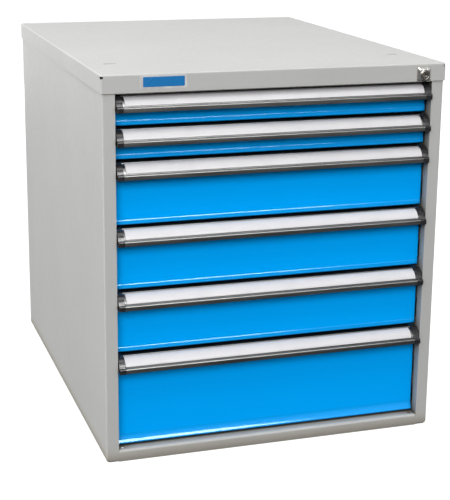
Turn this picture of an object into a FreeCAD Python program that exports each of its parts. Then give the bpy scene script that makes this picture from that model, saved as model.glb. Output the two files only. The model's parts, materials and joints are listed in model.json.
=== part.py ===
import FreeCAD, Part
import math
import os

# Sheet-steel drawer cabinet with six front-opening drawers and a central lock.
# Millimetres. +Z up, the drawers open towards -Y, +X is the right-hand side
# seen from the front. The origin is the centre of the footprint of the whole
# object's box, on the floor.

# ---------------------------------------------------------------- dimensions
COVER_W = 545.0          # top cover, side to side
COVER_D = 690.0          # top cover, front to back
HEIGHT = 600.0           # floor to the top of the cover
OVERHANG = 2.0           # top cover beyond the casing, all round
COVER_FLANGE = 27.4      # height of the cover's turned-down edge
RAIL_LOW = 570.8         # lower edge of the cross rail, seen below the cover
SHEET = 1.2              # casing sheet

CASE_W = COVER_W - 2 * OVERHANG
CASE_D = COVER_D - 2 * OVERHANG

OPEN_HALF = 251.0        # half width of the drawer opening
LEDGE_Z = 18.5           # top of the base panel, which is the opening's sill
RETURN_DEPTH = 15.5      # jamb return, from the frame's front plane
CORNER_R = 6.0           # casing's rounded lower corners
EDGE_R = 2.6             # casing's bent vertical edges
RIM_R = 2.4              # bend round the cover's top face
RELIEF_R = 1.9           # half height of the corner reliefs under that bend
RELIEF_SPREAD = 0.9      # and half the width that they have beyond round
SILL_R = 4.0             # bend between the bottom rail's face and the sill

# drawer modules from the top down, each front's full pitch
MODULES = [50.0, 50.0, 100.0, 100.0, 100.0, 150.0]
STACK_TOP = 570.0        # top of the first module

FRONT_RECESS = 19.0      # drawer front's face behind the frame's front plane
FRONT_HALF = 249.5       # half width of a drawer front
FRONT_SHEET = 1.2
FRONT_BOTTOM_GAP = 1.5   # front's lowest edge above its module's bottom
FRONT_TOP_GAP = 3.2      # front's top edge below its module's top
# lower edge of a front, swept forward in an S and rolled back: radius of the
# upper and of the lower half of the S, its steepest tilt in degrees, its lower
# end above the front's lowest edge and the radius of the roll
JOGGLE = (1.9, 1.9, 32.0, 6.4, 2.6)
JOGGLE_LOWEST = (24.0, 2.0, 32.0, 2.2, 2.0)   # the bottom drawer's long flare

# handle section: f = forward of the drawer front's face,
# h = height measured from the module's top (negative is down)
LABEL_TOP = (5.5, -3.4)
LABEL_MID = (15.3, -7.6)
LABEL_END = (20.338, -15.9)
LABEL_THICK = 1.0
HANDLE_TOP = -2.0        # top of the handle's flange over the front's edge
HANDLE_BACK = -9.9       # flange's rear edge, behind the front's face
HANDLE_HALF = 240.0      # half length of the handle extrusion
CAP_F = 26.4             # end cap's furthest point in front of the face
CAP_LOW = -25.8          # end cap's and lip's lower end
LIP_F = 25.6
LIP_LOW = -25.3
LABEL_HALF = 237.6       # half length of a label strip
LABEL_SHIFT = [1.0, -0.8, 2.0, 0.2, 0.8, -1.8]   # each strip's sideways slip

TRAY_HALF = 231.0        # outer half width of a drawer tray
TRAY_SHEET = 0.9
TRAY_FRONT = 28.0        # tray's front wall behind the frame's front plane
TRAY_DEPTH = 614.0
TRAY_WALL_DROP = 12.0    # tray walls' top below the module's top
TRAY_HEM = 5.0

TRAVEL = 600.0           # full extension of a drawer

# telescopic runners, heights measured from the runner's centre line
RUNNER_Z = 18.0          # centre line above the module's bottom
RUNNER_START = 30.0
RUNNER_LEN = 600.0
FIXED_HALF_H = 13.0
MIDDLE_HALF_H = 10.2
DRAWER_HALF_H = 7.5
RAIL_T = 1.5

# perforated uprights that carry the fixed rails
UPRIGHT_X = 252.2        # inner face
UPRIGHT_T = 1.5
UPRIGHT_TOP = 572.0
SLOT_H = 31.0
SLOT_PITCH = 50.0
SLOT_FIRST = 33.5        # lower end of the lowest slot
SLOT_COUNT = 11
SLOT_R0, SLOT_R1 = 14.0, 36.0

# lock
LOCK_X = 235.5
LOCK_Z = 583.2
CORE_R = 6.5
CORE_CLEAR = 0.06
BARREL_R = 9.5
CRANK = 4.25             # pin's radius on the lock cam
PIN_R = 1.5
BAR_X0, BAR_X1 = 255.0, 257.0
BAR_R0, BAR_R1 = 28.0, 36.0
TAB_INNER_X = 244.5
TAB_R0, TAB_R1 = 31.0, 33.0
TAB_LOW, TAB_HIGH = 37.7, 44.2   # catch tab above its module's bottom, unlocked
LUG_LOW, LUG_HIGH = 32.5, 36.5   # drawer's lug above its module's bottom
LUG_R0, LUG_R1 = 34.0, 37.0
LUG_X = 250.0
CATCH_LOW = 29.0         # catch bracket's plate, above its module's bottom
CATCH_R1 = 50.0
CATCH_T = 1.5

# fixing holes
SILL_HOLE_X = 243.0
SILL_HOLE_R = 2.75
SILL_HOLE_FRONT = 10.0   # front pair, behind the frame's front plane
SILL_HOLE_REAR = 656.0   # rear pair
TOP_SLOT_X = 233.0
TOP_SLOT_Y = 110.0       # slots' centre line behind the frame's front plane
TOP_SLOT_LEN = 20.0
TOP_SLOT_W = 6.0

# blind rivets through the walls' rear edges and the back panel
RIVET_X = 258.0
RIVET_Z = [60.0, 220.0, 380.0, 540.0]
RIVET_R = 1.6

# The box runs from the end caps' front to the cover's rear edge.
PROUD = CAP_F - FRONT_RECESS
TOTAL_D = PROUD + CASE_D + OVERHANG
YF = -TOTAL_D / 2.0 + PROUD          # frame's front plane
YB = YF + CASE_D                     # casing's rear plane

V = FreeCAD.Vector
os.makedirs("parts", exist_ok=True)


# ------------------------------------------------------------------- helpers
def box(x0, x1, r0, r1, z0, z1):
    """Block by its limits; r is measured back from the frame's front plane."""
    return Part.makeBox(x1 - x0, r1 - r0, z1 - z0, V(x0, YF + r0, z0))


def rod(x, r0, r1, z, radius):
    """Round bar along Y."""
    return Part.makeCylinder(radius, r1 - r0, V(x, YF + r0, z), V(0, 1, 0))


def post(x, r, z0, z1, radius):
    """Round bar along Z."""
    return Part.makeCylinder(radius, z1 - z0, V(x, YF + r, z0), V(0, 0, 1))


def mirror(shape):
    return shape.mirror(V(0, 0, 0), V(1, 0, 0))


def fuse(first, *rest):
    out = first
    for other in rest:
        out = out.fuse(other)
    return out.removeSplitter()


def group(solids):
    return Part.makeCompound(solids)


def save(shape, node):
    assert shape.isValid(), node
    shape.exportStep("parts/" + node + ".step")
    boxed = shape.BoundBox
    print("%-24s solids %2d  vol %9.1f  x %7.1f %7.1f  y %7.1f %7.1f  z %7.1f %7.1f" % (
        node, len(shape.Solids), shape.Volume, boxed.XMin, boxed.XMax,
        boxed.YMin, boxed.YMax, boxed.ZMin, boxed.ZMax))


def extrude_section(wire_edges, x0, x1):
    """Closed section in the YZ plane, drawn at x = 0, run from x0 to x1."""
    face = Part.Face(Part.Wire(wire_edges))
    solid = face.extrude(V(x1 - x0, 0, 0))
    solid.translate(V(x0, 0, 0))
    return solid


def fh(point, top):
    """Point of the handle section: forward of the front's face, below top."""
    f, h = point
    return V(0, YF + FRONT_RECESS - f, top + h)


def poly(points, top):
    """Straight edges through the points of a handle section."""
    vs = [fh(p, top) for p in points]
    return [Part.LineSegment(a, b).toShape() for a, b in zip(vs[:-1], vs[1:])]


def arc3(a, m, b, top):
    return Part.Arc(fh(a, top), fh(m, top), fh(b, top)).toShape()


def arc_circle(a, m, b):
    """Centre and radius of the circle through three points."""
    ax, ay = a
    bx, by = m
    cx, cy = b
    d = 2 * (ax * (by - cy) + bx * (cy - ay) + cx * (ay - by))
    ux = ((ax ** 2 + ay ** 2) * (by - cy) + (bx ** 2 + by ** 2) * (cy - ay)
          + (cx ** 2 + cy ** 2) * (ay - by)) / d
    uy = ((ax ** 2 + ay ** 2) * (cx - bx) + (bx ** 2 + by ** 2) * (ax - cx)
          + (cx ** 2 + cy ** 2) * (bx - ax)) / d
    return (ux, uy), math.hypot(ax - ux, ay - uy)


LABEL_C, LABEL_R = arc_circle(LABEL_TOP, LABEL_MID, LABEL_END)


def offset_pt(point, distance):
    """Point moved out (+) or in (-) along the label arc's radius."""
    dx, dy = point[0] - LABEL_C[0], point[1] - LABEL_C[1]
    k = (LABEL_R + distance) / LABEL_R
    return (LABEL_C[0] + dx * k, LABEL_C[1] + dy * k)


# -------------------------------------------------------------------- casing
def corner_relief(sx, sy, grow=0.0):
    """Oblong cutter along the diagonal of one of the cover's corners, just
    under the bend of its top face. sy is -1 at the front, +1 at the rear."""
    x = sx * COVER_W / 2.0
    y = YF - OVERHANG if sy < 0 else YB + OVERHANG
    z = HEIGHT - RIM_R - RELIEF_R + 0.3
    s = math.sqrt(0.5)
    inward = V(-sx * s, -sy * s, 0)
    across = V(-sx * s, sy * s, 0)
    start = V(x, y, z) - inward * 2.0
    cutter = None
    for k in (-1, 0, 1):
        rod_k = Part.makeCylinder(RELIEF_R + grow, 11.0, start + across * (k * RELIEF_SPREAD), inward)
        cutter = rod_k if cutter is None else cutter.fuse(rod_k)
    return cutter


def side_wall():
    """Right-hand wall, a folded sheet: web, front jamb with its return, and
    turned-in top, bottom and rear edges."""
    x0, x1 = OPEN_HALF, CASE_W / 2.0
    top = HEIGHT - SHEET
    outer = box(x0, x1, 0, CASE_D, 0, top)
    low = [e for e in outer.Edges
           if abs(e.BoundBox.XMin - x1) < 1e-6 and abs(e.BoundBox.XMax - x1) < 1e-6
           and abs(e.BoundBox.ZMax) < 1e-6]
    outer = outer.makeFillet(CORNER_R, low)

    def upright_edges(shape, y, xx):
        return [e for e in shape.Edges
                if abs(e.BoundBox.YMin - y) < 1e-6 and abs(e.BoundBox.YMax - y) < 1e-6
                and abs(e.BoundBox.XMax - xx) < 1e-6 and abs(e.BoundBox.XMin - xx) < 1e-6
                and e.BoundBox.ZLength > 50]

    outer = outer.makeFillet(EDGE_R, upright_edges(outer, YF, x1) + upright_edges(outer, YB, x1))
    inner = box(x0 - 30, x1 - SHEET, SHEET, CASE_D - SHEET, SHEET, top - SHEET)
    low = [e for e in inner.Edges
           if abs(e.BoundBox.XMin - (x1 - SHEET)) < 1e-6 and abs(e.BoundBox.XMax - (x1 - SHEET)) < 1e-6
           and abs(e.BoundBox.ZMax - SHEET) < 1e-6]
    inner = inner.makeFillet(CORNER_R - SHEET, low)
    shell = outer.cut(inner)
    # the return stops a little above the sill
    inner_return = box(x0, x0 + SHEET, SHEET, RETURN_DEPTH, LEDGE_Z + 1.3, top - SHEET)
    # small drain notch in the lower edge, near the front
    notch = box(x1 - 4, x1 + 1, 24, 27, -1, 3.0)
    body = fuse(shell, inner_return).cut(notch)
    for z in RIVET_Z:
        body = body.cut(rod(RIVET_X, CASE_D - 5, CASE_D + 5, z, RIVET_R))
    # relief in the top front corner, behind the cover's
    return body.cut(corner_relief(1, -1, 0.4))


def base_panel():
    """Floor of the casing: a pan turned upside down, whose front edge is the
    bottom rail and whose top is the sill."""
    x = OPEN_HALF
    outer = box(-x, x, 0, CASE_D - 2 * SHEET, 0, LEDGE_Z)
    front = [e for e in outer.Edges
             if abs(e.BoundBox.YMax - YF) < 1e-6 and abs(e.BoundBox.ZMin - LEDGE_Z) < 1e-6]
    outer = outer.makeFillet(SILL_R, front)
    inner = box(-x + SHEET, x - SHEET, SHEET, CASE_D - 3 * SHEET, -5, LEDGE_Z - SHEET)
    front = [e for e in inner.Edges
             if abs(e.BoundBox.YMax - (YF + SHEET)) < 1e-6
             and abs(e.BoundBox.ZMin - (LEDGE_Z - SHEET)) < 1e-6]
    inner = inner.makeFillet(SILL_R - SHEET, front)
    pan = outer.cut(inner)
    for sx in (-1, 1):
        for r in (SILL_HOLE_FRONT, SILL_HOLE_REAR):
            pan = pan.cut(post(sx * SILL_HOLE_X, r, 5, 30, SILL_HOLE_R))
    return pan


def top_cover():
    """Shallow cover with turned-down edges, two slots near its front corners,
    corner reliefs and the hole for the lock."""
    w = COVER_W / 2.0
    r0, r1 = -OVERHANG, CASE_D + OVERHANG
    low = HEIGHT - COVER_FLANGE
    outer = box(-w, w, r0, r1, low, HEIGHT)
    corners = [e for e in outer.Edges
               if e.BoundBox.ZLength > 10 and e.BoundBox.XLength < 1e-6 and e.BoundBox.YLength < 1e-6]
    outer = outer.makeFillet(3.0, corners)
    rim = [e for e in outer.Edges if abs(e.BoundBox.ZMin - HEIGHT) < 1e-4]
    outer = outer.makeFillet(RIM_R, rim)
    inner = box(-w + SHEET, w - SHEET, r0 + SHEET, r1 - SHEET, low - 5, HEIGHT - SHEET)
    corners = [e for e in inner.Edges
               if e.BoundBox.ZLength > 10 and e.BoundBox.XLength < 1e-6 and e.BoundBox.YLength < 1e-6]
    inner = inner.makeFillet(1.8, corners)
    lid = outer.cut(inner)
    for sx in (-1, 1):
        half = (TOP_SLOT_LEN - TOP_SLOT_W) / 2.0
        cx = sx * TOP_SLOT_X
        slot = box(cx - half, cx + half, TOP_SLOT_Y - TOP_SLOT_W / 2, TOP_SLOT_Y + TOP_SLOT_W / 2,
                   HEIGHT - 5, HEIGHT + 5)
        for ex in (cx - half, cx + half):
            slot = slot.fuse(post(ex, TOP_SLOT_Y, HEIGHT - 5, HEIGHT + 5, TOP_SLOT_W / 2))
        lid = lid.cut(slot)
        # bend relief in each corner
        for sy in (-1, 1):
            lid = lid.cut(corner_relief(sx, sy))
    return lid.cut(rod(LOCK_X, -10, 10, LOCK_Z, BARREL_R + 0.1))


def top_rail():
    """Cross rail behind the cover's front edge. It ties the two jambs and
    carries the lock."""
    x = OPEN_HALF
    top = HEIGHT - SHEET
    face = box(-x, x, 0, SHEET, RAIL_LOW, top)
    upper = box(-x, x, SHEET, 30, top - SHEET, top)
    lower = box(-x, x, SHEET, 12, RAIL_LOW, RAIL_LOW + SHEET)
    rail = fuse(face, upper, lower)
    bend = [e for e in rail.Edges
            if abs(e.BoundBox.YMax - YF) < 1e-6 and abs(e.BoundBox.ZMax - RAIL_LOW) < 1e-6]
    rail = rail.makeFillet(2.0, bend)
    # the jambs' returns pass behind the lower edge
    for sx in (-1, 1):
        a, b = sorted((sx * (x - 2), sx * (x + 1)))
        rail = rail.cut(box(a, b, SHEET, 14, RAIL_LOW - 1, RAIL_LOW + SHEET + 0.5))
    return rail.cut(rod(LOCK_X, -10, 10, LOCK_Z, BARREL_R + 0.1))


def back_panel():
    return box(-262, 262, CASE_D - 2 * SHEET, CASE_D - SHEET, SHEET + 1.0, HEIGHT - 2 * SHEET - 1.0)


def back_rivets():
    heads = []
    for sx in (-1, 1):
        for z in RIVET_Z:
            shank = rod(sx * RIVET_X, CASE_D - 2 * SHEET - 2.5, CASE_D, z, RIVET_R)
            head = rod(sx * RIVET_X, CASE_D, CASE_D + 1.1, z, 3.2)
            tail = rod(sx * RIVET_X, CASE_D - 2 * SHEET - 2.5, CASE_D - 2 * SHEET, z, 2.4)
            heads.append(fuse(shank, head, tail))
    return heads


def upright(front):
    """Right-hand perforated strip with a flange out to the side wall."""
    x0, x1 = UPRIGHT_X, UPRIGHT_X + UPRIGHT_T
    wall = CASE_W / 2.0 - SHEET
    if front:
        strip = box(x0, x1, 2.5, 62, LEDGE_Z, UPRIGHT_TOP)
        flange = box(x1, wall, 62 - UPRIGHT_T, 62, LEDGE_Z, UPRIGHT_TOP)
        s0, s1 = SLOT_R0, SLOT_R1
    else:
        strip = box(x0, x1, 580, 640, LEDGE_Z, UPRIGHT_TOP)
        flange = box(x1, wall, 580, 580 + UPRIGHT_T, LEDGE_Z, UPRIGHT_TOP)
        s0, s1 = 606, 628
    body = fuse(strip, flange)
    for i in range(SLOT_COUNT):
        z = SLOT_FIRST + i * SLOT_PITCH
        body = body.cut(box(x0 - 1, x1 + 1, s0, s1, z, z + SLOT_H))
    return body


# ------------------------------------------------------------------- runners
def channel(web0, web1, tip, zc, half, t, r0, length):
    """U-shaped rail along Y: web between web0 and web1, flanges out to tip."""
    lo, hi = min(web0, web1, tip), max(web0, web1, tip)
    web = box(min(web0, web1), max(web0, web1), r0, r0 + length, zc - half, zc + half)
    up = box(lo, hi, r0, r0 + length, zc + half - t, zc + half)
    down = box(lo, hi, r0, r0 + length, zc - half, zc - half + t)
    return fuse(web, up, down)


def fixed_rail(bottom):
    zc = bottom + RUNNER_Z
    return channel(UPRIGHT_X - RAIL_T, UPRIGHT_X, 236.0, zc, FIXED_HALF_H, RAIL_T,
                   RUNNER_START, RUNNER_LEN)


def middle_rail(bottom):
    zc = bottom + RUNNER_Z
    return channel(247.2, 248.7, 236.0, zc, MIDDLE_HALF_H, 1.4, RUNNER_START, RUNNER_LEN)


def drawer_rail(bottom):
    zc = bottom + RUNNER_Z
    return channel(TRAY_HALF, TRAY_HALF + RAIL_T, 245.2, zc, DRAWER_HALF_H, 1.4,
                   RUNNER_START, RUNNER_LEN)


# ------------------------------------------------------------------- drawers
def tray(bottom, top):
    """Open box of thin sheet with turned-in top edges."""
    t = TRAY_SHEET
    z0 = bottom + FRONT_BOTTOM_GAP + FRONT_SHEET
    z1 = top - TRAY_WALL_DROP
    r0, r1 = TRAY_FRONT, TRAY_FRONT + TRAY_DEPTH
    x = TRAY_HALF
    outer = box(-x, x, r0, r1, z0, z1)
    inner = box(-x + t, x - t, r0 + t, r1 - t, z0 + t, z1 + 10)
    body = outer.cut(inner)
    hem = TRAY_HEM
    left = box(-x + t, -x + t + hem, r0 + t, r1 - t, z1 - t, z1)
    right = mirror(left)
    rear = box(-x + t, x - t, r1 - t - hem, r1 - t, z1 - t, z1)
    front = box(-x - 9, x + 9, r0, r0 + t, z0 + 0.0, top - FRONT_TOP_GAP - FRONT_SHEET)
    return fuse(body, left, right, rear, front)


def catch(bottom):
    """Bracket spot-welded on the tray's right wall, whose lug the lock bar's
    tab stops."""
    x = TRAY_HALF
    plate = box(x, x + CATCH_T, LUG_R0, CATCH_R1, bottom + CATCH_LOW, bottom + LUG_HIGH)
    lug = box(x, LUG_X, LUG_R0, LUG_R1, bottom + LUG_LOW, bottom + LUG_HIGH)
    return fuse(plate, lug)


def front_panel(bottom, top, joggle):
    """Folded sheet: flat face, lower edge swept forward and rolled back under
    the tray, top edge and side edges turned back."""
    t = FRONT_SHEET
    r_up, r_low, tilt, s_low, r = joggle
    tilt = math.radians(tilt)
    y = YF + FRONT_RECESS
    z0 = bottom + FRONT_BOTTOM_GAP
    z1 = top - FRONT_TOP_GAP
    back = YF + TRAY_FRONT + TRAY_SHEET
    tail = YF + 42.0
    s_mid = z0 + s_low + r_low * math.sin(tilt)      # where the S turns over
    s_high = s_mid + r_up * math.sin(tilt)
    ya = y - (r_up + r_low) * (1 - math.cos(tilt))   # face below the S
    y_mid = y - r_up * (1 - math.cos(tilt))
    # arc centres: in front of the sheet for the upper half, behind it for the
    # lower half
    up_c, low_c = (y - r_up, s_high), (ya + r_low, z0 + s_low)

    def on(centre, rad, angle, side):
        """Point of an arc at an angle below (upper half) or above (lower
        half) the level of its centre."""
        return V(0, centre[0] - side * rad * math.cos(angle), centre[1] + side * rad * math.sin(angle))

    outer_mid = on(up_c, r_up, tilt, -1)
    inner_mid = on(up_c, r_up + t, tilt, -1)
    assert abs(outer_mid.y - y_mid) < 1e-6 and abs(outer_mid.z - s_mid) < 1e-6
    k = math.sqrt(0.5)
    line = lambda p, q: Part.LineSegment(p, q).toShape()
    bend = lambda p, m, q: Part.Arc(p, m, q).toShape()
    roll_out = V(0, ya + r - r * k, z0 + r - r * k)
    roll_in = V(0, ya + r - (r - t) * k, z0 + r - (r - t) * k)
    high_out, high_in = V(0, y, s_high), V(0, y + t, s_high)
    low_out, low_in = V(0, ya, z0 + s_low), V(0, ya + t, z0 + s_low)
    edges = [
        line(V(0, back, z1), V(0, y + 1.0, z1)),
        line(V(0, y + 1.0, z1), V(0, y, z1 - 1.0)),
        line(V(0, y, z1 - 1.0), high_out),
        bend(high_out, on(up_c, r_up, tilt / 2, -1), outer_mid),
        bend(outer_mid, on(low_c, r_low, tilt / 2, 1), low_out),
        line(low_out, V(0, ya, z0 + r)),
        bend(V(0, ya, z0 + r), roll_out, V(0, ya + r, z0)),
        line(V(0, ya + r, z0), V(0, tail, z0)),
        line(V(0, tail, z0), V(0, tail, z0 + t)),
        line(V(0, tail, z0 + t), V(0, ya + r, z0 + t)),
        bend(V(0, ya + r, z0 + t), roll_in, V(0, ya + t, z0 + r)),
        line(V(0, ya + t, z0 + r), low_in),
        bend(low_in, on(low_c, r_low - t, tilt / 2, 1), inner_mid),
        bend(inner_mid, on(up_c, r_up + t, tilt / 2, -1), high_in),
        line(high_in, V(0, y + t, z1 - t)),
        line(V(0, y + t, z1 - t), V(0, back, z1 - t)),
        line(V(0, back, z1 - t), V(0, back, z1)),
    ]
    sheet = extrude_section(edges, -FRONT_HALF, FRONT_HALF)
    # the run under the tray is narrower than the face
    for sx in (-1, 1):
        a, b = sorted((sx * 244.0, sx * (FRONT_HALF + 1)))
        sheet = sheet.cut(box(a, b, TRAY_FRONT - 0.6, 60, z0 - 1, z0 + 5))
        a, b = sorted((sx * 242.0, sx * (FRONT_HALF + 1)))
        sheet = sheet.cut(box(a, b, TRAY_FRONT - 0.6, 60, z1 - 5, z1 + 1))
    a = FRONT_HALF - t
    # turned-back side edges end above the S
    cheek = box(a, FRONT_HALF, FRONT_RECESS + t * 0.5, FRONT_RECESS + 8.0, s_high, z1 - t * 0.5)
    return fuse(sheet, cheek, mirror(cheek))


def handle(top):
    """Grip extrusion: flange over the front's top edge, back leg on its face,
    convex seat for the label, groove, and a lip pulled from behind."""
    a1 = offset_pt(LABEL_TOP, -LABEL_THICK)
    m1 = offset_pt(LABEL_MID, -LABEL_THICK)
    b1 = offset_pt(LABEL_END, -LABEL_THICK)
    wall = 2.2
    a2 = offset_pt(LABEL_TOP, -LABEL_THICK - wall)
    m2 = offset_pt(LABEL_MID, -LABEL_THICK - wall)
    b2 = offset_pt(LABEL_END, -LABEL_THICK - wall)
    edges = []
    under = -FRONT_TOP_GAP
    edges += poly([(HANDLE_BACK, under), (HANDLE_BACK, HANDLE_TOP - 0.4), (HANDLE_BACK + 0.4, HANDLE_TOP),
                   (4.4, HANDLE_TOP), (5.1, HANDLE_TOP - 0.7), a1], top)
    edges.append(arc3(a1, m1, b1, top))
    edges += poly([b1, (20.0, -18.6), (22.0, -18.6), (22.3, -17.7), (23.2, -17.3)], top)
    edges.append(arc3((23.2, -17.3), (24.9, -18.1), (LIP_F, -19.6), top))
    edges += poly([(LIP_F, -19.6), (LIP_F, LIP_LOW + 0.6), (LIP_F - 0.6, LIP_LOW),
                   (LIP_F - 1.8, LIP_LOW), (LIP_F - 2.2, LIP_LOW + 0.6), (LIP_F - 2.2, -20.5),
                   (18.0, -20.5), b2], top)
    edges.append(arc3(b2, m2, a2, top))
    edges += poly([a2, (2.0, a2[1]), (2.0, -13.0), (0.0, -13.0), (0.0, under), (HANDLE_BACK, under)], top)
    return extrude_section(edges, -HANDLE_HALF, HANDLE_HALF)


def label(top, shift):
    """Curved strip that lies in the handle's seat."""
    a0, m0, b0 = LABEL_TOP, LABEL_MID, LABEL_END
    a1, m1, b1 = (offset_pt(p, -LABEL_THICK) for p in (a0, m0, b0))
    edges = [arc3(a0, m0, b0, top)]
    edges += poly([b0, b1], top)
    edges.append(arc3(b1, m1, a1, top))
    edges += poly([a1, a0], top)
    return extrude_section(edges, -LABEL_HALF + shift, LABEL_HALF + shift)


def end_cap(top):
    """Moulded cap on the handle's right-hand end: quarter-round over the
    label's line, a ridge and the lip's end, closed down to the front."""
    grow = 0.9
    a0 = (6.0, -1.6)
    m0 = offset_pt(LABEL_MID, grow)
    b0 = offset_pt(LABEL_END, grow)
    edges = poly([(0.0, -1.6), a0], top)
    edges.append(arc3(a0, m0, b0, top))
    edges += poly([b0, (22.1, -17.6), (22.7, -16.8), (23.6, -16.6)], top)
    edges.append(arc3((23.6, -16.6), (25.6, -17.4), (CAP_F, -19.2), top))
    edges += poly([(CAP_F, -19.2), (CAP_F, CAP_LOW + 1.0), (CAP_F - 1.0, CAP_LOW),
                   (20.0, CAP_LOW), (3.0, -20.0), (0.0, -20.0), (0.0, -1.6)], top)
    cap = extrude_section(edges, HANDLE_HALF, FRONT_HALF)
    return cap


# ---------------------------------------------------------------------- lock
def escutcheon():
    """Square rosette with bevelled sides round the lock's face."""
    x, z = LOCK_X, LOCK_Z
    half, front_half = 11.2, 8.3
    r0, r1 = -OVERHANG - 4.2, -OVERHANG

    def square(h, r):
        pts = [V(x - h, YF + r, z - h), V(x + h, YF + r, z - h),
               V(x + h, YF + r, z + h), V(x - h, YF + r, z + h)]
        return Part.makePolygon(pts + [pts[0]])

    skirt = box(x - half, x + half, r1 - 1.0, r1, z - half, z + half)
    dome = Part.makeLoft([square(half, r1 - 1.0), square(front_half, r0)], True)
    return fuse(skirt, dome).cut(rod(x, r0 - 1, r1 + 1, z, CORE_R + CORE_CLEAR))


def lock_housing():
    """Barrel through the cover and the cross rail, held by its nut."""
    barrel = rod(LOCK_X, -OVERHANG, 22.0, LOCK_Z, BARREL_R)
    nut_r0, nut_r1 = SHEET, SHEET + 4.0
    pts = []
    for i in range(6):
        a = math.radians(60 * i)
        pts.append(V(LOCK_X + 12.0 * math.cos(a), YF + nut_r0, LOCK_Z + 12.0 * math.sin(a)))
    nut = Part.Face(Part.makePolygon(pts + [pts[0]])).extrude(V(0, nut_r1 - nut_r0, 0))
    return fuse(barrel, nut).cut(rod(LOCK_X, -10, 30, LOCK_Z, CORE_R + CORE_CLEAR))


def lock_core():
    """Plug of the lock with its keyway, whose lower lip is scooped out."""
    r0 = -OVERHANG - 5.2
    plug = rod(LOCK_X, r0, 22.6, LOCK_Z, CORE_R)
    front = [e for e in plug.Edges if abs(e.BoundBox.YMax - (YF + r0)) < 1e-6]
    plug = plug.makeChamfer(0.6, front)
    key = box(LOCK_X - 4.0, LOCK_X + 4.0, r0 - 1, r0 + 9.0, LOCK_Z - 0.9, LOCK_Z + 0.9)
    ward = box(LOCK_X - 1.2, LOCK_X + 1.2, r0 - 1, r0 + 9.0, LOCK_Z - 0.5, LOCK_Z + 1.9)
    lip = [(r0 - 0.6, LOCK_Z - 3.3), (r0 - 0.6, LOCK_Z - 0.8), (r0 + 1.3, LOCK_Z - 0.8)]
    lip = [V(LOCK_X - 2.6, YF + r, z) for r, z in lip]
    scoop = Part.Face(Part.makePolygon(lip + [lip[0]])).extrude(V(5.2, 0, 0))
    return plug.cut(key.fuse(ward)).cut(scoop)


def lock_cam():
    """Disc on the plug's rear end with a crank pin."""
    disc = rod(LOCK_X, 22.6, 25.0, LOCK_Z, 7.5)
    s = CRANK * math.sqrt(0.5)
    pin = rod(LOCK_X + s, 25.0, 31.0, LOCK_Z + s, PIN_R)
    return fuse(disc, pin)


def lock_bar(bottoms):
    """Flat bar behind the right jamb, with a slotted arm that the crank pin
    drives and one catch tab for each drawer."""
    s = CRANK * math.sqrt(0.5)
    bar = box(BAR_X0, BAR_X1, BAR_R0, BAR_R1, 26.0, LOCK_Z + s + 5.0)
    arm = box(LOCK_X - 2.0, BAR_X1, BAR_R0, BAR_R0 + 2.0, LOCK_Z + s - 5.0, LOCK_Z + s + 5.0)
    window = box(LOCK_X + s - PIN_R - 0.6, LOCK_X + CRANK + PIN_R + 0.6,
                 BAR_R0 - 1, BAR_R0 + 3, LOCK_Z + s - PIN_R - 0.5, LOCK_Z + s + PIN_R + 0.5)
    body = fuse(bar, arm.cut(window))
    for b in bottoms:
        body = fuse(body, box(TAB_INNER_X, BAR_X0 + 1.0, TAB_R0, TAB_R1, b + TAB_LOW, b + TAB_HIGH))
    return body


def bar_guides():
    """Two stirrups on the upright that the lock bar slides through."""
    out = []
    for z in (67.0, 517.0):
        block = box(UPRIGHT_X + UPRIGHT_T, BAR_X1 + 2.6, BAR_R0 - 3.0, BAR_R1 + 3.0, z, z + 13.0)
        way = box(BAR_X0 - 0.4, BAR_X1 + 0.4, BAR_R0 - 0.4, BAR_R1 + 0.4, z - 1, z + 14.0)
        out.append(block.cut(way))
    return out


# ------------------------------------------------------------------- outputs
tops, bottoms = [], []
level = STACK_TOP
for m in MODULES:
    tops.append(level)
    level -= m
    bottoms.append(level)

right_wall = side_wall()
save(right_wall, "side_wall_right")
save(mirror(right_wall), "side_wall_left")
save(base_panel(), "base_panel")
save(back_panel().cut(group(back_rivets())), "back_panel")
save(top_cover(), "top_cover")
save(top_rail(), "top_rail")

front_upright = upright(True)
rear_upright = upright(False)
save(front_upright, "upright_front_right")
save(mirror(front_upright), "upright_front_left")
save(rear_upright, "upright_rear_right")
save(mirror(rear_upright), "upright_rear_left")
save(group(back_rivets()), "back_panel_rivets")

fixed = [fixed_rail(b) for b in bottoms]
save(group(fixed + [mirror(f) for f in fixed]), "fixed_rails")

save(escutcheon(), "lock_escutcheon")
save(lock_housing(), "lock_housing")
save(lock_core(), "lock_core")
save(lock_cam(), "lock_cam")
save(lock_bar(bottoms), "lock_bar")
save(group(bar_guides()), "lock_bar_guides")

for i, (b, t) in enumerate(zip(bottoms, tops)):
    n = str(i + 1)
    save(group([tray(b, t), catch(b)]), "drawer_%s_tray" % n)
    save(front_panel(b, t, JOGGLE_LOWEST if i == len(tops) - 1 else JOGGLE), "drawer_%s_front" % n)
    save(handle(t), "drawer_%s_handle" % n)
    save(label(t, LABEL_SHIFT[i]), "drawer_%s_label" % n)
    cap = end_cap(t)
    save(group([mirror(cap), cap]), "drawer_%s_end_caps" % n)
    rail = drawer_rail(b)
    save(group([mirror(rail), rail]), "drawer_%s_rails" % n)
    mid = middle_rail(b)
    save(group([mirror(mid), mid]), "drawer_%s_middle_rails" % n)

print("front plane y %.2f  rear plane y %.2f  depth %.2f" % (YF, YB, TOTAL_D))
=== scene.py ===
import json
import math

import bmesh
import bpy
from mathutils import Matrix, Vector


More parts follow.
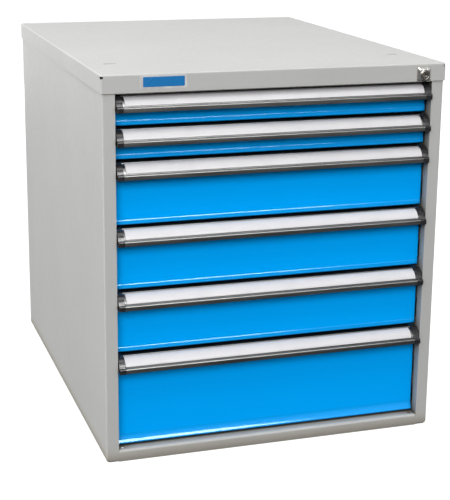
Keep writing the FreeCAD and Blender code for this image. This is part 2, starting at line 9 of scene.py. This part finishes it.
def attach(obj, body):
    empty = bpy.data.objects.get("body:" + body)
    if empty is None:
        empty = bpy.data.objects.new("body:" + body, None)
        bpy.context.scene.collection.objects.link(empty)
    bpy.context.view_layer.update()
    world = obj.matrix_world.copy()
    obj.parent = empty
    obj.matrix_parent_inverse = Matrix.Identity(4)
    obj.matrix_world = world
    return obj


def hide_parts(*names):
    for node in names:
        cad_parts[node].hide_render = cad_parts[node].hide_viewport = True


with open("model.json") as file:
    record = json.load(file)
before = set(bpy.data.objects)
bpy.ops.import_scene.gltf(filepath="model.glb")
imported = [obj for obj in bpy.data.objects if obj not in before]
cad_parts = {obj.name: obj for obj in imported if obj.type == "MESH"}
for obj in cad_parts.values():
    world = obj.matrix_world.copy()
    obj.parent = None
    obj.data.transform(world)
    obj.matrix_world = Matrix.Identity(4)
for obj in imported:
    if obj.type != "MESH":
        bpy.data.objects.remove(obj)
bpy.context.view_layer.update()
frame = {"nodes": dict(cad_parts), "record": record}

NODES = frame["nodes"]
MM = 0.001

# ------------------------------------------------------------------ dimensions
# Millimetres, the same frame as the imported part.
YF = -340.3                 # front plane of the jambs
YB = 345.7                  # rear plane of the casing
COVER_HALF = 272.5
OVERHANG = 2.0
HEIGHT = 600.0
COVER_LOW = 572.6
SHEET = 1.2
TOPS = [570.0, 520.0, 470.0, 370.0, 270.0, 170.0]
BOTTOMS = [520.0, 470.0, 370.0, 270.0, 170.0, 20.0]
RECESS = 19.0
FACE_Y = YF + RECESS
FRONT_HALF = 249.5
LABEL_TOP = (5.5, -3.4)
LABEL_MID = (15.3, -7.6)
LABEL_END = (20.338, -15.9)
HANDLE_HALF = 240.0
LABEL_HALF = 237.6
LABEL_SHIFT = [1.0, -0.8, 2.0, 0.2, 0.8, -1.8]
LOCK_X, LOCK_Z = 235.5, 583.2
CORE_R = 6.5
ROSETTE_FACE = YF - OVERHANG - 4.2
PLATE = (-215.4, -143.8, 577.4, 598.0)     # pale foil on the cover's edge
PLATE_INLAY = (-210.0, -147.3, 580.6, 595.2)


# ------------------------------------------------------------------ camera
def make_camera():
    """The photograph's viewpoint: from the left, above, with a long lens."""
    az, el, roll = math.radians(-17.9427), math.radians(14.6919), math.radians(0.5743)
    back = Vector((math.sin(az) * math.cos(el), -math.cos(az) * math.cos(el), math.sin(el)))
    right = (-back).cross(Vector((0, 0, 1))).normalized()
    up = right.cross(-back)
    right2 = right * math.cos(roll) + up * math.sin(roll)
    up2 = up * math.cos(roll) - right * math.sin(roll)
    m = Matrix.Identity(4)
    for i, axis in enumerate((right2, up2, back)):
        for k in range(3):
            m[k][i] = axis[k]
    for k, v in enumerate((-0.67703, -2.17379, 0.87893)):
        m[k][3] = v
    data = bpy.data.cameras.new("camera")
    data.sensor_width = 36.0
    data.lens = 1320.64 / 500.0 * 36.0
    data.shift_y = -0.06
    data.clip_start, data.clip_end = 0.05, 200.0
    cam = bpy.data.objects.new("camera", data)
    bpy.context.scene.collection.objects.link(cam)
    cam.matrix_world = m
    bpy.context.scene.camera = cam


# ------------------------------------------------------------------ materials
def new_material(name):
    m = bpy.data.materials.new(name)
    m.use_nodes = True
    nt = m.node_tree
    for n in list(nt.nodes):
        nt.nodes.remove(n)
    out = nt.nodes.new("ShaderNodeOutputMaterial")
    bsdf = nt.nodes.new("ShaderNodeBsdfPrincipled")
    nt.links.new(bsdf.outputs["BSDF"], out.inputs["Surface"])
    return m, nt, bsdf


def coords(nt, scale=(1, 1, 1)):
    tc = nt.nodes.new("ShaderNodeTexCoord")
    mp = nt.nodes.new("ShaderNodeMapping")
    mp.inputs["Scale"].default_value = scale
    nt.links.new(tc.outputs["Object"], mp.inputs["Vector"])
    return mp.outputs["Vector"]


def noise(nt, vec, scale, detail=2.0, rough=0.5):
    n = nt.nodes.new("ShaderNodeTexNoise")
    n.inputs["Scale"].default_value = scale
    n.inputs["Detail"].default_value = detail
    n.inputs["Roughness"].default_value = rough
    nt.links.new(vec, n.inputs["Vector"])
    return n.outputs["Fac"]


def ramp(nt, fac, stops):
    r = nt.nodes.new("ShaderNodeValToRGB")
    el = r.color_ramp.elements
    while len(el) < len(stops):
        el.new(0.5)
    for e, (pos, col) in zip(el, stops):
        e.position = pos
        e.color = (*col, 1.0) if len(col) == 3 else col
    nt.links.new(fac, r.inputs["Fac"])
    return r.outputs["Color"]


def remap(nt, fac, lo, hi, a=0.3, b=0.7):
    """fac from a..b to lo..hi, clamped."""
    m = nt.nodes.new("ShaderNodeMapRange")
    m.inputs["From Min"].default_value = a
    m.inputs["From Max"].default_value = b
    m.inputs["To Min"].default_value = lo
    m.inputs["To Max"].default_value = hi
    nt.links.new(fac, m.inputs["Value"])
    return m.outputs["Result"]


def bump(nt, bsdf, height, strength, distance, normal=None):
    b = nt.nodes.new("ShaderNodeBump")
    b.inputs["Strength"].default_value = strength
    b.inputs["Distance"].default_value = distance
    nt.links.new(height, b.inputs["Height"])
    if normal is not None:
        nt.links.new(normal, b.inputs["Normal"])
    nt.links.new(b.outputs["Normal"], bsdf.inputs["Normal"])
    return b.outputs["Normal"]


def scaled(c, k):
    return tuple(min(1.0, x * k) for x in c)


def painted_crevice_shade(nt, colour, distance, stops):
    """Colour darkened as painted shade where neighbouring pieces close in:
    corners, gaps and along the floor."""
    ao = nt.nodes.new("ShaderNodeAmbientOcclusion")
    ao.samples = 8
    ao.inputs["Distance"].default_value = distance
    shade = nt.nodes.new("ShaderNodeMix")
    shade.data_type = "RGBA"
    shade.blend_type = "MULTIPLY"
    shade.inputs["Factor"].default_value = 1.0
    nt.links.new(colour, shade.inputs["A"])
    nt.links.new(ramp(nt, ao.outputs["AO"], stops), shade.inputs["B"])
    return shade.outputs["Result"]


def gloss_coat(name, colour, rough, spread, spec, tint):
    """Smooth coat of paint: slow shade changes, clouds of slightly different
    gloss and a long, shallow waviness of the sheet under it."""
    m, nt, bsdf = new_material(name)
    vec = coords(nt)
    mix = nt.nodes.new("ShaderNodeMix")
    mix.data_type = "RGBA"
    nt.links.new(remap(nt, noise(nt, vec, 4.0, 2.0), 0.0, 1.0), mix.inputs["Factor"])
    mix.inputs["A"].default_value = (*scaled(colour, 1 - spread), 1)
    mix.inputs["B"].default_value = (*scaled(colour, 1 + spread), 1)
    # Painted shade: the coat darkened in gaps and where neighbouring pieces close in, as under the handles and below
    # the rolled edge.
    nt.links.new(painted_crevice_shade(nt, mix.outputs["Result"], 0.010, PAINTED_GAP_SHADE), bsdf.inputs["Base Color"])
    nt.links.new(remap(nt, noise(nt, vec, 14.0, 2.0), rough - 0.02, rough + 0.03), bsdf.inputs["Roughness"])
    bsdf.inputs["Specular IOR Level"].default_value = spec
    bsdf.inputs["Specular Tint"].default_value = (*tint, 1)
    bump(nt, bsdf, noise(nt, vec, 9.0, 1.0), 0.10, 0.0004)
    return m


def powder_coat(name, colour, rough, shade, spread=0.03, spec=0.5, peel=0.10):
    """Baked powder coat: orange peel, fine mottling, slow shade changes and painted shade where surfaces close in."""
    m, nt, bsdf = new_material(name)
    vec = coords(nt)
    slow = noise(nt, vec, 5.0, 3.0)
    fine = noise(nt, vec, 420.0, 2.0, 0.6)
    mix = nt.nodes.new("ShaderNodeMix")
    mix.data_type = "RGBA"
    nt.links.new(remap(nt, slow, 0.0, 1.0), mix.inputs["Factor"])
    mix.inputs["A"].default_value = (*scaled(colour, 1 - spread), 1)
    mix.inputs["B"].default_value = (*scaled(colour, 1 + spread), 1)
    grain = nt.nodes.new("ShaderNodeMix")
    grain.data_type = "RGBA"
    grain.blend_type = "MULTIPLY"
    grain.inputs["Factor"].default_value = 1.0
    nt.links.new(mix.outputs["Result"], grain.inputs["A"])
    nt.links.new(ramp(nt, fine, [(0.30, (0.965, 0.965, 0.965)), (0.70, (1.0, 1.0, 1.0))]),
                 grain.inputs["B"])
    # Painted shade: base colour darkened by the given stops where neighbouring surfaces close in.
    nt.links.new(painted_crevice_shade(nt, grain.outputs["Result"], 0.032, shade), bsdf.inputs["Base Color"])
    nt.links.new(remap(nt, noise(nt, vec, 90.0, 2.0), rough - 0.05, rough + 0.06), bsdf.inputs["Roughness"])
    bsdf.inputs["Specular IOR Level"].default_value = spec
    bump(nt, bsdf, noise(nt, vec, 260.0, 3.0, 0.55), peel, 0.0003)
    return m


def drawn_metal(name, dark, light, rough, axis=0, metallic=1.0, strength=0.12):
    """Extruded or rolled metal with streaks along one axis."""
    m, nt, bsdf = new_material(name)
    stretch = [260.0, 260.0, 260.0]
    stretch[axis] = 1.6
    vec = coords(nt, stretch)
    streak = noise(nt, vec, 3.0, 4.0, 0.6)
    nt.links.new(ramp(nt, streak, [(0.3, dark), (0.7, light)]), bsdf.inputs["Base Color"])
    bsdf.inputs["Metallic"].default_value = metallic
    nt.links.new(remap(nt, noise(nt, coords(nt), 40.0, 2.0), rough - 0.05, rough + 0.07), bsdf.inputs["Roughness"])
    bump(nt, bsdf, streak, strength, 0.0002)
    return m


def anodised(name, dark, light, rough):
    """Satin anodised extrusion: soft shade and gloss bands along X."""
    m, nt, bsdf = new_material(name)
    band = noise(nt, coords(nt, (1.2, 40.0, 40.0)), 3.0, 2.0, 0.5)
    shade = ramp(nt, band, [(0.3, dark), (0.7, light)])
    # Painted shade: the extrusion darkened nearly to black in its grooves and where the label and neighbouring pieces
    # close in.
    nt.links.new(painted_crevice_shade(nt, shade, 0.005, PAINTED_GROOVE_SHADE), bsdf.inputs["Base Color"])
    bsdf.inputs["Metallic"].default_value = 1.0
    nt.links.new(remap(nt, noise(nt, coords(nt, (8.0, 90.0, 90.0)), 2.0, 2.0), rough - 0.04, rough + 0.06),
                 bsdf.inputs["Roughness"])
    bump(nt, bsdf, band, 0.02, 0.0002)
    return m


def zinc(name):
    """Bright zinc plate with faint clouding and rolling marks."""
    m, nt, bsdf = new_material(name)
    vec = coords(nt)
    v = nt.nodes.new("ShaderNodeTexVoronoi")
    v.inputs["Scale"].default_value = 110.0
    nt.links.new(vec, v.inputs["Vector"])
    cloud = noise(nt, vec, 18.0, 4.0)
    mix = nt.nodes.new("ShaderNodeMix")
    mix.data_type = "RGBA"
    nt.links.new(remap(nt, cloud, 0.0, 1.0), mix.inputs["Factor"])
    mix.inputs["A"].default_value = (0.50, 0.51, 0.53, 1)
    mix.inputs["B"].default_value = (0.68, 0.69, 0.70, 1)
    nt.links.new(mix.outputs["Result"], bsdf.inputs["Base Color"])
    bsdf.inputs["Metallic"].default_value = 1.0
    nt.links.new(remap(nt, v.outputs["Distance"], 0.26, 0.42, 0.0, 0.8), bsdf.inputs["Roughness"])
    bump(nt, bsdf, noise(nt, coords(nt, (400, 6, 400)), 2.0, 3.0), 0.10, 0.0001)
    return m


def moulded_plastic(name, colour, rough):
    m, nt, bsdf = new_material(name)
    vec = coords(nt)
    nt.links.new(ramp(nt, noise(nt, vec, 60.0, 3.0), [(0.3, scaled(colour, 0.85)), (0.7, scaled(colour, 1.2))]),
                 bsdf.inputs["Base Color"])
    nt.links.new(remap(nt, noise(nt, vec, 220.0, 2.0), rough - 0.06, rough + 0.08), bsdf.inputs["Roughness"])
    bump(nt, bsdf, noise(nt, vec, 1600.0, 2.0), 0.14, 0.0001)
    return m


def label_plastic(name):
    """White card behind a clear glossy strip."""
    m, nt, bsdf = new_material(name)
    vec = coords(nt)
    card = ramp(nt, noise(nt, vec, 24.0, 4.0, 0.6),
                [(0.3, (0.61, 0.60, 0.615)), (0.7, (0.65, 0.64, 0.652))])
    # Painted shade: the card darkened towards its top where the drawer above and the cover overhang it.
    nt.links.new(painted_crevice_shade(nt, card, 0.026, [(0.40, (0.74, 0.74, 0.76)), (0.92, (1.0, 1.0, 1.0))]), bsdf.inputs["Base Color"])
    bsdf.inputs["Roughness"].default_value = 0.5
    bsdf.inputs["Specular IOR Level"].default_value = 0.1
    bsdf.inputs["Coat Weight"].default_value = 0.12
    bsdf.inputs["Coat Roughness"].default_value = 0.14
    bump(nt, bsdf, noise(nt, coords(nt, (1, 6, 6)), 14.0, 2.0), 0.05, 0.001)
    return m


def chrome(name, colour, rough):
    m, nt, bsdf = new_material(name)
    vec = coords(nt)
    nt.links.new(ramp(nt, noise(nt, vec, 300.0, 2.0), [(0.3, scaled(colour, 0.93)), (0.7, colour)]),
                 bsdf.inputs["Base Color"])
    bsdf.inputs["Metallic"].default_value = 1.0
    nt.links.new(remap(nt, noise(nt, coords(nt, (40, 900, 900)), 2.0, 3.0), rough * 0.6, rough * 1.6),
                 bsdf.inputs["Roughness"])
    return m


# Painted shade for the casing: darker where surfaces close in, in corners, gaps and along the floor, warmed to offset
# the blue light bounced from the fronts.
PAINTED_SHADE_WARM = [(0.30, (0.17, 0.155, 0.13)), (0.70, (0.88, 0.83, 0.75)), (0.90, (1.0, 1.0, 1.0))]
# Painted shade for the drawer trays: grey darkening in their inside corners.
PAINTED_CORNER_SHADE = [(0.20, (0.45, 0.45, 0.44)), (0.85, (1.0, 1.0, 1.0))]
# Painted shade for the handle extrusion.
PAINTED_GROOVE_SHADE = [(0.30, (0.06, 0.06, 0.06)), (0.82, (1.0, 1.0, 1.0))]
# Painted shade for the fronts and the plate inlay.
PAINTED_GAP_SHADE = [(0.25, (0.18, 0.18, 0.20)), (0.80, (1.0, 1.0, 1.0))]
PAINT = powder_coat("casing_powder_coat", (0.442, 0.442, 0.434), 0.55, PAINTED_SHADE_WARM, spread=0.025, spec=0.22, peel=0.06)
TRAY = powder_coat("tray_powder_coat", (0.442, 0.446, 0.442), 0.55, PAINTED_CORNER_SHADE, spread=0.025, spec=0.22, peel=0.06)
BLUE_COLOUR = (0.0, 0.384, 0.99)
BLUE = gloss_coat("front_coat", BLUE_COLOUR, 0.22, 0.010, 0.30, (0.10, 0.85, 1.0))
# Glossier copy of the front coat for the swept lower edge; its colour is a tenth darker as painted shade, offsetting
# the extra light the upturned edge catches.
BLUE_EDGE = gloss_coat("front_coat_edge", scaled(BLUE_COLOUR, 0.90), 0.10, 0.010, 0.55, (0.85, 1.0, 1.0))
HANDLE = anodised("handle_anodised", (0.150, 0.152, 0.148), (0.172, 0.174, 0.170), 0.34)
CAP = moulded_plastic("cap_black", (0.016, 0.016, 0.018), 0.24)
LABEL = label_plastic("label_strip")
ZINC = zinc("runner_zinc_plate")
RIVET = drawn_metal("rivet_aluminium", (0.55, 0.55, 0.55), (0.75, 0.75, 0.75), 0.38, axis=2)
CHROME = chrome("lock_chrome_plate", (0.86, 0.86, 0.85), 0.20)
NICKEL = chrome("lock_nickel", (0.36, 0.34, 0.31), 0.24)
FOIL = moulded_plastic("plate_foil", (0.48, 0.48, 0.475), 0.36)
INLAY = gloss_coat("plate_inlay", (0.010, 0.160, 0.420), 0.26, 0.03, 0.4, (1.0, 1.0, 1.0))
BY_SLOT = {"casing_paint": PAINT, "tray_paint": TRAY, "front_paint": BLUE, "handle_metal": HANDLE,
           "cap_plastic": CAP, "label_strip": LABEL, "runner_zinc": ZINC, "rivet_metal": RIVET,
           "lock_chrome": CHROME, "lock_steel": NICKEL}
SLOT_OF = {sub["node"]: sub["material_slot"] for sub in frame["record"]["subparts"]}
BODY_OF = {n: b for b, ns in frame["record"]["behaviour"]["bodies"].items() for n in ns}

for node_name, node in NODES.items():
    for ms in node.material_slots:
        ms.material = BY_SLOT[SLOT_OF[node_name]]


# ------------------------------------------------------------------ geometry
def link(name, mesh, material):
    mesh.materials.clear()
    mesh.materials.append(material)
    for poly in mesh.polygons:
        poly.material_index = 0
    obj = bpy.data.objects.new(name, mesh)
    bpy.context.scene.collection.objects.link(obj)
    return obj


def baked(obj):
    """The object's mesh with its modifiers applied."""
    deps = bpy.context.evaluated_depsgraph_get()
    mesh = bpy.data.meshes.new_from_object(obj.evaluated_get(deps), depsgraph=deps)
    old = obj.data
    obj.modifiers.clear()
    obj.data = mesh
    bpy.data.meshes.remove(old)
    return obj


def round_edges(obj, width, segments, limit=30.0):
    """Roll over every edge sharper than the limit and shade it softly."""
    for poly in obj.data.polygons:
        poly.use_smooth = True
    b = obj.modifiers.new("edges", "BEVEL")
    b.width = width * MM
    b.segments = segments
    b.limit_method = "ANGLE"
    b.angle_limit = math.radians(limit)
    b.use_clamp_overlap = True
    b.miter_outer = "MITER_ARC"
    w = obj.modifiers.new("normals", "WEIGHTED_NORMAL")
    w.keep_sharp = False
    w.weight = 60
    return baked(obj)


def node_bmesh(node):
    """The node's solid with its split vertices joined and its flat faces whole."""
    bm = bmesh.new()
    bm.from_mesh(NODES[node].data)
    bmesh.ops.remove_doubles(bm, verts=bm.verts, dist=2e-6)
    bmesh.ops.dissolve_limit(bm, angle_limit=math.radians(0.4), use_dissolve_boundaries=False,
                             verts=bm.verts, edges=bm.edges)
    return bm


def stand_for(obj, *nodes):
    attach(obj, BODY_OF[nodes[0]])
    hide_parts(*nodes)
    return obj


def formed(node, suffix, width, segments=2, limit=30.0, extra=None):
    """Replace a node by its own shape with rolled edges and, where given,
    further detail in the same piece."""
    bm = node_bmesh(node)
    mesh = bpy.data.meshes.new(node + suffix)
    bm.to_mesh(mesh)
    bm.free()
    obj = link(node + suffix, mesh, BY_SLOT[SLOT_OF[node]])
    round_edges(obj, width, segments, limit)
    if extra is not None:
        bm = bmesh.new()
        bm.from_mesh(obj.data)
        extra(bm)
        bm.to_mesh(obj.data)
        bm.free()
        for poly in obj.data.polygons:
            poly.use_smooth = True
    return stand_for(obj, node)


def grid_faces(bm, rings, closed_rings=True):
    """Quads between rings of points, with a fan at each end."""
    made = [[bm.verts.new(p) for p in ring] for ring in rings]
    n = len(made[0])
    for a, b in zip(made[:-1], made[1:]):
        for k in range(n if closed_rings else n - 1):
            m = (k + 1) % n
            bm.faces.new((a[k], a[m], b[m], b[k]))
    bm.faces.new(list(reversed(made[0])))
    bm.faces.new(made[-1])
    return made


def bead(bm, x0, x1, y, z, radius, around=14, cap=4):
    """Round-ended bead along X."""
    rings = []
    lengths = []
    for i in range(cap + 1):
        a = math.pi / 2 * i / cap
        lengths.append((x0 + radius * (1 - math.sin(a)), radius * math.cos(a)))
    lengths = [(x, max(r, radius * 0.08)) for x, r in reversed(lengths)]
    tail = [(x0 + x1 - x, r) for x, r in reversed(lengths)]
    for x, r in lengths + tail:
        rings.append([Vector((x, y + r * math.cos(2 * math.pi * k / around),
                              z + r * math.sin(2 * math.pi * k / around))) * MM for k in range(around)])
    first = len(bm.faces)
    grid_faces(bm, rings)
    bm.faces.ensure_lookup_table()
    bmesh.ops.recalc_face_normals(bm, faces=bm.faces[first:])


def arc_circle(a, m, b):
    ax, ay = a
    bx, by = m
    cx, cy = b
    d = 2 * (ax * (by - cy) + bx * (cy - ay) + cx * (ay - by))
    ux = ((ax ** 2 + ay ** 2) * (by - cy) + (bx ** 2 + by ** 2) * (cy - ay) + (cx ** 2 + cy ** 2) * (ay - by)) / d
    uy = ((ax ** 2 + ay ** 2) * (cx - bx) + (bx ** 2 + by ** 2) * (ax - cx) + (cx ** 2 + cy ** 2) * (bx - ax)) / d
    return (ux, uy), math.hypot(ax - ux, ay - uy)


SEAT_C, SEAT_R = arc_circle(LABEL_TOP, LABEL_MID, LABEL_END)


def on_seat(h, grow):
    """Point of the label's arc at height h below the module's top, moved out."""
    r = SEAT_R + grow
    f = SEAT_C[0] + math.sqrt(max(0.0, r * r - (h - SEAT_C[1]) ** 2))
    return FACE_Y - f, h


def cap_extra(top):
    """Fine moulded bead across each end cap, level with the label's middle."""
    def add(bm):
        y, h = on_seat(-11.6, 0.9 - 0.22)
        for sx in (-1, 1):
            a, b = sorted((sx * 240.5, sx * 248.8))
            bead(bm, a, b, y, top + h, 0.5)
    return add


def rounded_rect(x0, x1, z0, z1, radius, steps=6):
    pts = []
    for cx, cz, a0 in ((x1 - radius, z1 - radius, 0), (x0 + radius, z1 - radius, 90),
                       (x0 + radius, z0 + radius, 180), (x1 - radius, z0 + radius, 270)):
        for k in range(steps + 1):
            a = math.radians(a0 + 90.0 * k / steps)
            pts.append((cx + radius * math.cos(a), cz + radius * math.sin(a)))
    return pts


def plate(name, rect, radius, y_back, thick, edge, material, body):
    """Thin plate on the cover's front edge, with rounded corners and rim."""
    x0, x1, z0, z1 = rect
    bm = bmesh.new()
    rings = [[Vector((x, y_back, z)) * MM for x, z in rounded_rect(x0, x1, z0, z1, radius)]]
    for k in range(4):
        a = math.pi / 2 * k / 3
        inset = edge * (1 - math.cos(a))
        y = y_back - thick + edge * (1 - math.sin(a))
        rings.append([Vector((x, y, z)) * MM for x, z in
                      rounded_rect(x0 + inset, x1 - inset, z0 + inset, z1 - inset, radius - inset)])
    grid_faces(bm, rings)
    bmesh.ops.recalc_face_normals(bm, faces=bm.faces)
    mesh = bpy.data.meshes.new(name)
    bm.to_mesh(mesh)
    bm.free()
    obj = link(name, mesh, material)
    for poly in obj.data.polygons:
        poly.use_smooth = len(poly.vertices) == 4
    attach(obj, body)
    return obj


def turned(name, profile, material, body, around=48):
    """Ring turned about the lock's axis; profile is a closed (radius, y) line."""
    bm = bmesh.new()
    rows = []
    for k in range(around):
        a = 2 * math.pi * k / around
        rows.append([bm.verts.new(Vector((LOCK_X + r * math.cos(a), y, LOCK_Z + r * math.sin(a))) * MM)
                     for r, y in profile])
    n = len(profile)
    for k in range(around):
        p, q = rows[k], rows[(k + 1) % around]
        for i in range(n):
            m = (i + 1) % n
            bm.faces.new((p[i], p[m], q[m], q[i]))
    bmesh.ops.recalc_face_normals(bm, faces=bm.faces)
    mesh = bpy.data.meshes.new(name)
    bm.to_mesh(mesh)
    bm.free()
    obj = link(name, mesh, material)
    for poly in obj.data.polygons:
        poly.use_smooth = True
    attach(obj, body)
    return obj


def rosette(name):
    """Square lock rosette: upright rim, bevelled sides and a pillowed face
    round the plug's hole."""
    half, hole, around = 11.2, CORE_R + 0.06, 96
    back = YF - OVERHANG
    bm = bmesh.new()
    rings = []

    def square(k, h):
        a = 2 * math.pi * (k + 0.5) / around
        c, s = math.cos(a), math.sin(a)
        n = 14.0
        r = h / (abs(c) ** n + abs(s) ** n) ** (1.0 / n)
        return r * c, r * s

    def disc(k, r):
        a = 2 * math.pi * (k + 0.5) / around
        return r * math.cos(a), r * math.sin(a)

    steps = [(half, 0.0), (half, 1.1), (half - 0.12, 1.35), (half - 0.35, 1.6), (8.95, 3.35), (8.7, 3.55), (8.4, 3.68)]
    for h, rise in steps:
        rings.append([(*square(k, h), rise) for k in range(around)])
    for mix, rise in ((0.35, 3.86), (0.7, 4.04), (1.0, 4.14)):
        ring = []
        for k in range(around):
            x0, z0 = square(k, 8.4)
            x1, z1 = disc(k, hole + 0.5)
            ring.append((x0 + (x1 - x0) * mix, z0 + (z1 - z0) * mix, rise))
        rings.append(ring)
    rings.append([(*disc(k, hole + 0.12), 4.08) for k in range(around)])
    rings.append([(*disc(k, hole), 3.9) for k in range(around)])
    rings.append([(*disc(k, hole), 0.0) for k in range(around)])
    rows = [[bm.verts.new(Vector((LOCK_X + x, back - rise, LOCK_Z + z)) * MM) for x, z, rise in ring]
            for ring in rings]
    for a, b in zip(rows, rows[1:] + rows[:1]):
        for k in range(around):
            m = (k + 1) % around
            bm.faces.new((a[k], a[m], b[m], b[k]))
    bmesh.ops.recalc_face_normals(bm, faces=bm.faces)
    mesh = bpy.data.meshes.new(name)
    bm.to_mesh(mesh)
    bm.free()
    obj = link(name, mesh, CHROME)
    for poly in obj.data.polygons:
        poly.use_smooth = True
    w = obj.modifiers.new("normals", "WEIGHTED_NORMAL")
    w.weight = 50
    baked(obj)
    return stand_for(obj, "lock_escutcheon")


def front_edge(obj, bottom, high):
    """The swept and rolled lower edge gets a glossier copy of the coat, its colour darkened as painted shade."""
    mesh = obj.data
    mesh.materials.append(BLUE_EDGE)
    limit = (bottom + high) * MM
    for poly in mesh.polygons:
        if poly.center.z < limit and poly.center.y < (FACE_Y + 1.0) * MM:
            poly.material_index = 1


def build_pieces():
    for node in ("top_cover", "side_wall_left", "side_wall_right", "base_panel", "top_rail", "back_panel"):
        formed(node, "_sheet", 0.35)
    for n in range(1, 7):
        p = "drawer_%d_" % n
        top = TOPS[n - 1]
        front = formed(p + "front", "_pressed", 0.40)
        front_edge(front, BOTTOMS[n - 1], 17.7 if n == 6 else 10.1)
        formed(p + "handle", "_extrusion", 0.28)
        formed(p + "label", "_strip", 0.22)
        formed(p + "end_caps", "_moulded", 0.70, 3, extra=cap_extra(top))
        formed(p + "tray", "_pan", 0.25)
    rosette("lock_rosette")
    formed("lock_core", "_plug", 0.22, 2)
    y = ROSETTE_FACE
    turned("lock_collar", [(CORE_R + 0.12, y + 0.3), (CORE_R + 0.12, y - 0.45), (CORE_R + 0.3, y - 0.68),
                           (CORE_R + 0.75, y - 0.72), (CORE_R + 1.25, y - 0.45), (CORE_R + 1.6, y + 0.05),
                           (CORE_R + 1.6, y + 0.3)], NICKEL, "casing")
    face = YF - OVERHANG
    plate("cover_plate_foil", PLATE, 2.2, face + 0.02, 0.26, 0.12, FOIL, "casing")
    plate("cover_plate_inlay", PLATE_INLAY, 1.6, face - 0.2, 0.22, 0.12, INLAY, "casing")


# ------------------------------------------------------------------ stage
def make_floor():
    mesh = bpy.data.meshes.new("floor")
    s = 60.0
    mesh.from_pydata([(-s, -s, 0), (s, -s, 0), (s, s, 0), (-s, s, 0)], [], [(0, 1, 2, 3)])
    floor = bpy.data.objects.new("floor", mesh)
    bpy.context.scene.collection.objects.link(floor)
    m, nt, bsdf = new_material("floor_white")
    bsdf.inputs["Base Color"].default_value = (0.16, 0.16, 0.16, 1)
    bsdf.inputs["Roughness"].default_value = 0.9
    bsdf.inputs["Specular IOR Level"].default_value = 0.0
    bsdf.inputs["Emission Color"].default_value = (1, 1, 1, 1)
    bsdf.inputs["Emission Strength"].default_value = 0.94
    mesh.materials.append(m)
    floor.visible_glossy = False
    floor.visible_diffuse = False
    return floor


def area_light(name, at, look, size, size_y, power, colour=(1, 1, 1), **seen):
    data = bpy.data.lights.new(name, "AREA")
    data.shape = "RECTANGLE"
    data.size, data.size_y = size, size_y
    data.energy = power
    data.color = colour
    o = bpy.data.objects.new(name, data)
    bpy.context.scene.collection.objects.link(o)
    d = Vector(look) - Vector(at)
    o.matrix_world = Matrix.Translation(at) @ d.to_track_quat("-Z", "Y").to_matrix().to_4x4()
    for k, v in seen.items():
        setattr(o, k, v)
    return o


def make_world():
    w = bpy.data.worlds.new("studio")
    bpy.context.scene.world = w
    w.use_nodes = True
    nt = w.node_tree
    for n in list(nt.nodes):
        nt.nodes.remove(n)
    out = nt.nodes.new("ShaderNodeOutputWorld")
    bg = nt.nodes.new("ShaderNodeBackground")
    tc = nt.nodes.new("ShaderNodeTexCoord")
    sep = nt.nodes.new("ShaderNodeSeparateXYZ")
    nt.links.new(tc.outputs["Generated"], sep.inputs["Vector"])
    # brightness over the sine of the elevation, from a little below the horizon
    fac = remap(nt, sep.outputs["Z"], 0.0, 1.0, -0.1, 1.0)
    level = [(-0.09, 0.08), (-0.035, 0.35), (0.20, 0.45), (0.36, 0.45), (1.0, 0.60)]
    sky = ramp(nt, fac, [((z + 0.1) / 1.1, (v, v, v)) for z, v in level])
    nt.links.new(sky, bg.inputs["Color"])
    bg.inputs["Strength"].default_value = 1.0
    nt.links.new(bg.outputs["Background"], out.inputs["Surface"])


make_camera()
make_floor()
make_world()
area_light("key_top", (-0.2, -0.8, 3.2), (0, 0, 0.5), 2.4, 2.4, 54.0, visible_camera=False)
area_light("soft_front", (-1.9, -4.8, 2.95), (0.0, -0.34, 0.35), 3.4, 2.3, 224.0, visible_camera=False)
area_light("soft_left", (-3.2, 0.4, 1.5), (0, 0, 0.35), 2.0, 1.4, 83.0, visible_camera=False, visible_glossy=False)
area_light("soft_right", (3.2, 0.8, 1.1), (0, 0.1, 0.30), 2.0, 1.4, 62.0, visible_camera=False, visible_glossy=False)
area_light("soft_back", (0.3, 3.4, 0.35), (0, 0, 0.28), 2.4, 0.7, 42.0, visible_camera=False)
area_light("strip_front", (0.68, -4.1, 2.2), (0.68, -4.1, 0.0), 1.6, 2.6, 230.0,
           visible_diffuse=False, visible_camera=False)
build_pieces()

scene = bpy.context.scene
scene.view_settings.view_transform = "Standard"
